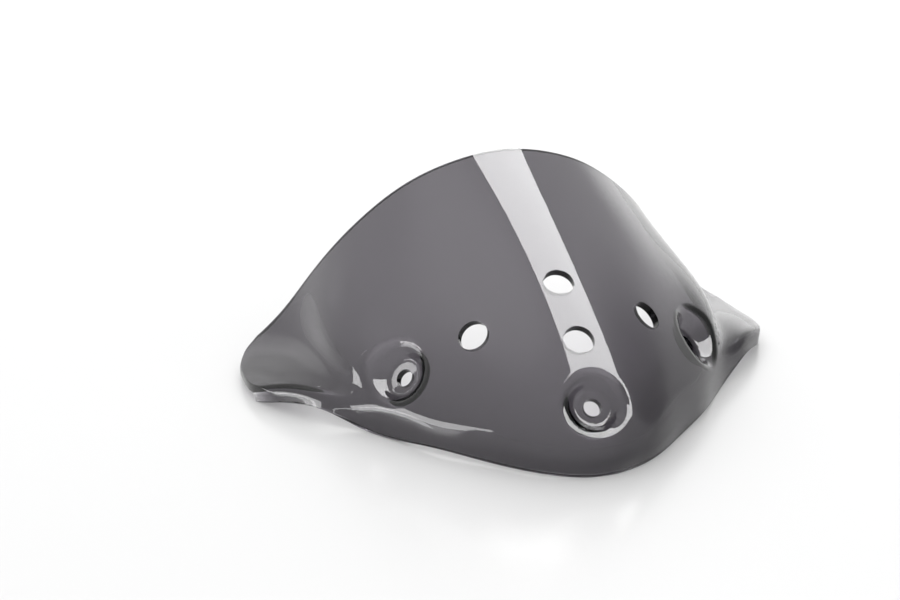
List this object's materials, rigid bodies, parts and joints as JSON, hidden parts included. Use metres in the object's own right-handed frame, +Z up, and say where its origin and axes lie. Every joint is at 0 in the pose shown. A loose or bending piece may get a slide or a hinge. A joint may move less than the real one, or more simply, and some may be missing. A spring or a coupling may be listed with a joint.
{
  "type": "headlight cowl",
  "caption": "Small smoked clear cowl for a motorbike headlight, drawn from one sheet, with a turned-down lip, side wings, recessed screw holes and round vents.",
  "frame": {"origin": "middle of the footprint, on the plane that the nose and the two wings rest on", "axes": "+X to the side, -Y towards the nose, +Z up; the same on both sides of X = 0"},
  "size_m": [0.2166, 0.1502, 0.089],
  "materials": {
    "smoked_sheet": "gloss"
  },
  "bodies": {
    "root": {"cowl_shell": "smoked_sheet"}
  },
  "joints": []
}
